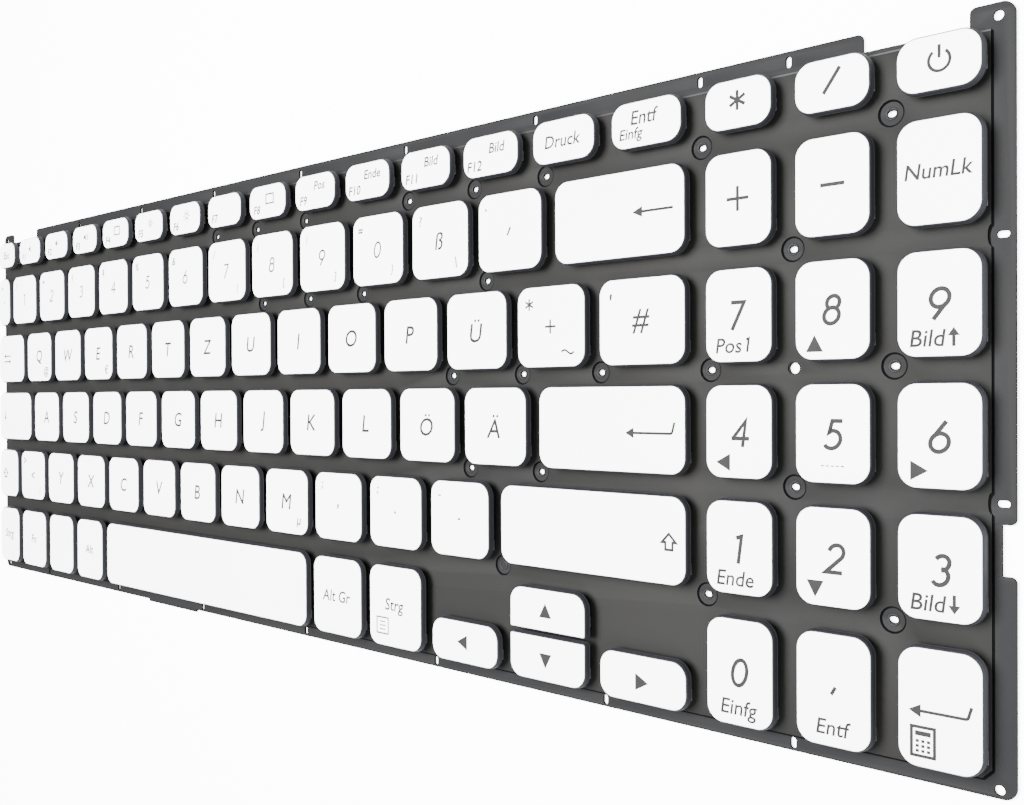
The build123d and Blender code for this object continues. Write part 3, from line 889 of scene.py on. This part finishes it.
moving_names = (
    "f10 f11 f12 print delete times divide power "
    "nine zero sharp_s acute backspace num_plus num_minus num_lock "
    "o p u_umlaut plus hash num_7 num_8 num_9 "
    "k l o_umlaut a_umlaut enter num_4 num_5 num_6 "
    "m comma dot dash shift_right num_1 num_2 num_3 "
    "space alt_gr ctrl_right arrow_left arrow_up arrow_down arrow_right "
    "num_0 num_comma num_enter").split()
moving = {name: top_sides("key_" + name) for name in moving_names}
func_w = moving["f11"][1] - moving["f11"][0]
func_pitch = moving["f11"][0] - moving["f10"][0]
row_names = {
    "function_row_keys": "escape f1 f2 f3 f4 f5 f6 f7 f8 f9",
    "number_row_keys": "caret one two three four five six seven eight",
    "upper_row_keys": "tab q w e r t z u i",
    "home_row_keys": "caps_lock a s d f g h j",
    "lower_row_keys": "shift_left angle y x c v b n",
}
rows = {}
for row_name, names in row_names.items():
    key_w, pitch = (func_w, func_pitch) if row_name == "function_row_keys" else (CAP_W, PITCH)
    rows[row_name] = row_sides(row_name, names.split(), key_w, pitch)
space_sides = top_sides("space_row_keys")
space_left = {}
key_left = space_sides[0]
for key_name, key_w in zip(("ctrl_left", "fn", "system", "alt"), SPACE_LEFT_W):
    space_left[key_name] = (key_left, key_left + key_w, space_sides[2], space_sides[3])
    key_left += key_w + KEY_GAP
rows["space_row_keys"] = space_left

# Keys that press on their own
for key_name, sides in moving.items():
    key_shape = Shape()
    cap(key_shape, sides, SMALL_R if key_name == "arrow_up" else CORNER_R,
        SMALL_R if key_name == "arrow_down" else CORNER_R)
    legend(key_shape, key_name, sides)
    key_piece = key_shape.piece("cap_" + key_name, (CAP, INK_PRINT, SKIRT, FOOT_GLINT))
    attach(key_piece, "key_" + key_name + "_body")
    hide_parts("key_" + key_name)
    link_shape = Shape()
    linkage(link_shape, sides)
    link_piece = link_shape.piece("linkage_" + key_name, (FRAME, DOME))
    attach(link_piece, "plate")
    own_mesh(link_piece)
    if key_name == "num_enter":
        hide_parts("rubber_domes", "folding_frames")

# Keys that share a piece per row, with their frames and domes
for row_name, row_keys in rows.items():
    row_shape = Shape()
    link_shape = Shape()
    for key_name, sides in row_keys.items():
        cap(row_shape, sides)
        legend(row_shape, key_name, sides)
        linkage(link_shape, sides)
    row_piece = row_shape.piece("caps_" + row_name, (CAP, INK_PRINT, SKIRT, FOOT_GLINT))
    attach(row_piece, "plate")
    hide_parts(row_name)
    link_piece = link_shape.piece("linkages_" + row_name, (FRAME, DOME))
    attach(link_piece, "plate")


# Plate and film: flat sheets with real openings

def slot_outline(x, y, length, width, upright):
    """A slot with round ends."""
    half = (length - width) / 2
    points = arc(half, 0, width / 2, -90, 90) + arc(-half, 0, width / 2, 90, 270)
    return [(x - py, y + px) if upright else (x + px, y + py) for px, py in points]


def sheet(name, outlines, low, thickness, edge, materials):
    """A flat sheet: the first outline is its edge, the others are openings.

    Its walls have the second of the materials.
    """
    curve = bpy.data.curves.new(name, "CURVE")
    curve.dimensions = "2D"
    curve.fill_mode = "BOTH"
    curve.extrude = (thickness / 2 - edge) * MM
    curve.bevel_depth = edge * MM
    curve.bevel_resolution = 1
    curve.offset = -edge * MM
    for outline in outlines:
        spline = curve.splines.new("POLY")
        spline.points.add(len(outline) - 1)
        for point, (x, y) in zip(spline.points, outline):
            point.co = (x * MM, y * MM, 0.0, 1.0)
        spline.use_cyclic_u = True
    holder = bpy.data.objects.new(name, curve)
    mesh = bpy.data.meshes.new_from_object(holder)
    bpy.data.objects.remove(holder)
    bpy.data.curves.remove(curve)
    mesh.transform(Matrix.Translation((0, 0, (low + thickness / 2) * MM)))
    weld(mesh, SHEET_WELD)
    mesh.materials.clear()
    for material in materials:
        mesh.materials.append(material)
    for polygon in mesh.polygons:
        polygon.material_index = 1 if abs(polygon.normal.z) < WALL_TILT else 0
    return smooth_object(name, mesh)


plate_lo, plate_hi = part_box("base_plate")
side = plate_hi[0] / MM
back = plate_hi[1] / MM
front_tab = plate_lo[1] / MM
front = front_tab + TAB_D
step_y = back - TOP_STEP
strip_r = side - EAR_W - RIGHT_RECESS
strip_l = -side + EAR_W + LEFT_RECESS
R = PLATE_CORNER_R
plate_outline = (
    arc(-side + R, front + R, R, 180, 270)
    + [(TAB_L, front), (TAB_L, front_tab), (TAB_R, front_tab), (TAB_R, front)]
    + arc(side - R, front + R, R, -90, 0)
    + arc(side - STEP_R, NOTCH_Y - NOTCH_L / 2 - STEP_R, STEP_R, 0, 90)
    + [(side - NOTCH_D, NOTCH_Y - NOTCH_L / 2), (side - NOTCH_D, NOTCH_Y + NOTCH_L / 2)]
    + arc(side - STEP_R, NOTCH_Y + NOTCH_L / 2 + STEP_R, STEP_R, 270, 360)
    + arc(side - R, back - R, R, 0, 90)
    + arc(side - EAR_W + STEP_R, back - STEP_R, STEP_R, 90, 180)
    + [(side - EAR_W, step_y), (strip_r, step_y)]
    + arc(strip_r - STEP_R, back - STEP_R, STEP_R, 0, 90)
    + arc(strip_l + STEP_R, back - STEP_R, STEP_R, 90, 180)
    + [(strip_l, step_y), (-side + EAR_W, step_y)]
    + arc(-side + EAR_W - STEP_R, back - STEP_R, STEP_R, 0, 90)
    + arc(-side + R, back - R, R, 90, 180)
)
plate_openings = [circle(sx * (side - CORNER_HOLE_X), sy * (back - CORNER_HOLE_Y), CORNER_HOLE_R)
                  for sx in (-1, 1) for sy in (-1, 1)]
for x in BACK_SLOT_X:
    plate_openings.append(slot_outline(x, back - SLOT_INSET, SLOT_L, SLOT_W, True))
for x in FRONT_SLOT_X:
    plate_openings.append(slot_outline(x, front + FRONT_SLOT_INSET, SLOT_L, SLOT_W, True))
for y in SIDE_SLOT_Y:
    plate_openings.append(slot_outline(side - SLOT_INSET, y, SLOT_L, SLOT_W, False))
for x, y in RIVETS:
    plate_openings.append([(px, y + (py - y) * RIVET_HOLE_FLAT) for px, py in circle(x, y, RIVET_HOLE_R)])
plate_openings.append(circle(*PLAIN_HOLE, PLAIN_HOLE_R))
plate_outlines = [plate_outline] + plate_openings
plate_piece = sheet("plate_sheet", plate_outlines, 0.0, PLATE_T, PLATE_EDGE, (PLATE, DARK_EDGE_AND_SHADE))
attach(plate_piece, "plate")
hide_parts("base_plate")

film_side = side - FILM_MARGIN
film_back = back - FILM_BACK_MARGIN
film_front = front_tab + FILM_FRONT_MARGIN
film_outline = [(-film_side + FILM_CORNER, film_front), (film_side - FILM_CORNER, film_front),
                (film_side, film_front + FILM_CORNER)]
for slot_y in sorted(SIDE_SLOT_Y):
    for i in range(SCALLOP_STEPS + 1):
        turn = math.pi * i / SCALLOP_STEPS
        film_outline.append((film_side - SCALLOP_D * math.sin(turn),
                             slot_y - SCALLOP_L * math.cos(turn)))
film_outline += [(film_side, film_back), (-film_side, film_back),
                 (-film_side, film_front + FILM_CORNER)]
film_openings = [circle(x, y, RELIEF_R, 32) for x, y in RIVETS + (BLIND_RIVET,)]
film_openings.append(circle(*PLAIN_HOLE, PLAIN_HOLE_R + PLAIN_HOLE_STEP))
film_outlines = [film_outline] + film_openings
film_piece = sheet("film_sheet", film_outlines, PLATE_T, FILM_T, FILM_EDGE, (FILM, DARK_EDGE_AND_SHADE))
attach(film_piece, "plate")
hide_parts("contact_film")


def collar_nodes():
    """Node tree: a small raised ring on every point."""
    tree = new_group("rivet_collars", "GeometryNodeTree",
                     (("Geometry", "Geometry"), ("Ring radius", "Float"), ("Tube radius", "Float"),
                      ("Finish", "Material")), (("Geometry", "Geometry"),))
    inside = add_node(tree, "NodeGroupInput", -600, 0)
    outside = add_node(tree, "NodeGroupOutput", 800, 0)
    path = add_node(tree, "GeometryNodeCurvePrimitiveCircle", -300, -150)
    path.inputs["Resolution"].default_value = COLLAR_STEPS
    section = add_node(tree, "GeometryNodeCurvePrimitiveCircle", -300, -350)
    section.inputs["Resolution"].default_value = TUBE_STEPS
    swept = add_node(tree, "GeometryNodeCurveToMesh", 0, -200)
    spread = add_node(tree, "GeometryNodeInstanceOnPoints", 200, 0)
    solid = add_node(tree, "GeometryNodeRealizeInstances", 400, 0)
    finish = add_node(tree, "GeometryNodeSetMaterial", 600, 0)
    tree.links.new(inside.outputs["Ring radius"], path.inputs["Radius"])
    tree.links.new(inside.outputs["Tube radius"], section.inputs["Radius"])
    tree.links.new(path.outputs["Curve"], swept.inputs["Curve"])
    tree.links.new(section.outputs["Curve"], swept.inputs["Profile Curve"])
    tree.links.new(inside.outputs["Geometry"], spread.inputs["Points"])
    tree.links.new(swept.outputs["Mesh"], spread.inputs["Instance"])
    tree.links.new(spread.outputs["Instances"], solid.inputs["Geometry"])
    tree.links.new(solid.outputs["Geometry"], finish.inputs["Geometry"])
    tree.links.new(inside.outputs["Finish"], finish.inputs["Material"])
    tree.links.new(finish.outputs["Geometry"], outside.inputs["Geometry"])
    return tree


def grown(name, points, tree, values):
    """A plain mesh from a node tree that works on points."""
    seed = bpy.data.meshes.new(name + "_points")
    seed.from_pydata([Vector(p) * MM for p in points], [], [])
    holder = bpy.data.objects.new(name + "_points", seed)
    bpy.context.scene.collection.objects.link(holder)
    modifier = holder.modifiers.new("grow", "NODES")
    modifier.node_group = tree
    for item in tree.interface.items_tree:
        if item.in_out == "INPUT" and item.name in values:
            modifier[item.identifier] = values[item.name]
    bpy.context.view_layer.update()
    view = holder.evaluated_get(bpy.context.evaluated_depsgraph_get())
    mesh = bpy.data.meshes.new_from_object(view)
    bpy.data.objects.remove(holder)
    bpy.data.meshes.remove(seed)
    mesh.shade_smooth()
    obj = bpy.data.objects.new(name, mesh)
    bpy.context.scene.collection.objects.link(obj)
    return obj


# Lines along the film's cut edge: painted shade beside the right and front edges, a painted highlight
# along the back
painted_edge_shape = Shape()
low, high = PLATE_T - SINK, PLATE_T + PAINTED_LINE_H
shade_line_rings = []
# Painted shade: a near-black ribbon beside the film's right and front edges
for x, y in film_outline[:1] + [p for p in film_outline if p[0] > 0]:
    far_x, far_y = x + PAINTED_LINE_W, y - PAINTED_LINE_W
    shade_line_rings.append([(x, y, low), (far_x, far_y, low), (far_x, far_y, high), (x, y, high)])
painted_edge_shape.bands(shade_line_rings, 0, True, True)
highlight_front, highlight_back = film_back - PAINTED_LINE_W, film_back - BACK_HIGHLIGHT_GAP
highlight_line = [(-film_side, highlight_front), (film_side, highlight_front),
             (film_side, highlight_back), (-film_side, highlight_back)]
painted_edge_shape.prism(highlight_line, FILM_TOP - SINK, FILM_TOP + PAINTED_LINE_H, 1)
painted_edge_piece = painted_edge_shape.piece("film_edge_painted_shade_and_highlight", (DARK_EDGE_AND_SHADE, HIGHLIGHT_EDGE))
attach(painted_edge_piece, "plate")

collar_points = [(x, y, PLATE_T) for x, y in RIVETS + (BLIND_RIVET,)]
collar_tree = collar_nodes()
collars = grown("rivet_collars", collar_points, collar_tree,
                {"Ring radius": COLLAR_R * MM, "Tube radius": COLLAR_TUBE * MM, "Finish": COLLAR})
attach(collars, "plate")
# Painted shade: a near-black ring around each round opening of the film
opening_shade_rings = grown("film_opening_painted_shade", collar_points, collar_tree,
                  {"Ring radius": SHADE_RING_R * MM, "Tube radius": SHADE_RING_TUBE * MM,
                   "Finish": DARK_EDGE_AND_SHADE})
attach(opening_shade_rings, "plate")


# Floor, light and camera

FLOOR_Z = -0.0002         # floor in metres
FLOOR_HALF = 6.0
SENSOR_W = 36.0           # in millimetres
FOCAL_PX = 1100.0
VIEW_W_PX = 1024.0


def floor_material():
    """Plain pale table that glows, as a light table does."""
    material = coated("pale_floor", (0.93, 0.93, 0.925), (0.91, 0.91, 0.905),
                      6.0, 900.0, 0.02, 0.7, 0.8)
    shader = material.node_tree.nodes["Principled BSDF"]
    shader.inputs["Emission Color"].default_value = (1.0, 1.0, 0.995, 1.0)
    shader.inputs["Emission Strength"].default_value = 5.0
    return material


floor_mesh = bpy.data.meshes.new("floor")
floor_corners = [(-FLOOR_HALF, -FLOOR_HALF, FLOOR_Z), (FLOOR_HALF, -FLOOR_HALF, FLOOR_Z),
                 (FLOOR_HALF, FLOOR_HALF, FLOOR_Z), (-FLOOR_HALF, FLOOR_HALF, FLOOR_Z)]
floor_mesh.from_pydata(floor_corners, [], [(0, 1, 2, 3)])
floor_mesh.materials.append(floor_material())
floor = bpy.data.objects.new("floor", floor_mesh)
bpy.context.scene.collection.objects.link(floor)


def area_light(name, place, target, size, power):
    """A square soft light that looks at a point."""
    data = bpy.data.lights.new(name, "AREA")
    data.size = size
    data.energy = power
    obj = bpy.data.objects.new(name, data)
    look = Vector(target) - Vector(place)
    turn = look.to_track_quat("-Z", "Y").to_matrix().to_4x4()
    obj.matrix_world = Matrix.Translation(place) @ turn
    bpy.context.scene.collection.objects.link(obj)
    return obj


key_light = area_light("key_light", (-0.02, 0.1, 0.62), (0.1, 0.0, 0.0), 0.42, 40.0)
fill_light = area_light("fill_light", (0.45, -0.35, 0.5), (0.05, 0.0, 0.0), 0.4, 9.0)

world = bpy.data.worlds.new("studio")
world.use_nodes = True
world.node_tree.nodes["Background"].inputs["Color"].default_value = (1.0, 1.0, 1.0, 1.0)
world.node_tree.nodes["Background"].inputs["Strength"].default_value = 0.7
bpy.context.scene.world = world

camera_data = bpy.data.cameras.new("camera")
camera_data.sensor_fit = "HORIZONTAL"
camera_data.sensor_width = SENSOR_W
camera_data.lens = SENSOR_W * FOCAL_PX / VIEW_W_PX
camera_data.clip_start = 0.005
camera = bpy.data.objects.new("camera", camera_data)
camera.matrix_world = Matrix((
    (0.737526, -0.001081, 0.675318, 0.211704),
    (-0.004747, 0.999966, 0.006784, 0.001515),
    (-0.675302, -0.008209, 0.737496, 0.157437),
    (0.0, 0.0, 0.0, 1.0),
))
bpy.context.scene.collection.objects.link(camera)
bpy.context.scene.camera = camera
